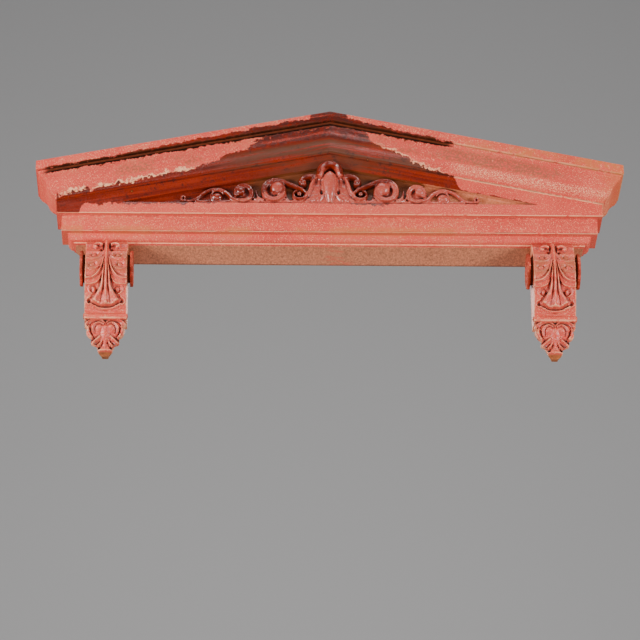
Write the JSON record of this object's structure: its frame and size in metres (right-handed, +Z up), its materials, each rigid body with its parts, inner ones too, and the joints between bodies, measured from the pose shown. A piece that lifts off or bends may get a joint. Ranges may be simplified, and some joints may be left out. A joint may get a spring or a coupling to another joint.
{
  "type": "window pediment section",
  "caption": "Low triangular window pediment with moulded returns, scrollwork in the tympanum and leaf-carved consoles, fixed flat to a wall over an opening.",
  "frame": {"origin": "on the wall plane, on the centre line, half way up the flange along the foot of the hood", "axes": "+Z up, +Y into the wall, so the front faces -Y, +X to the right seen from the front"},
  "size_m": [1.5, 0.144, 0.6441],
  "materials": {
    "hood_paint": "weathered matt pink paint over glossy deep red, with sandy dirt and worn cream edges",
    "scroll_paint": "glossy deep red paint with faded pink lower parts and dark dirt in the hollows",
    "console_paint": "faded pink paint with cream rubbed edges and brown dirt in the hollows"
  },
  "bodies": {
    "root": {"pediment_hood": "hood_paint", "tympanum_ornament": "scroll_paint", "console_left": "console_paint", "console_right": "console_paint"}
  },
  "joints": []
}
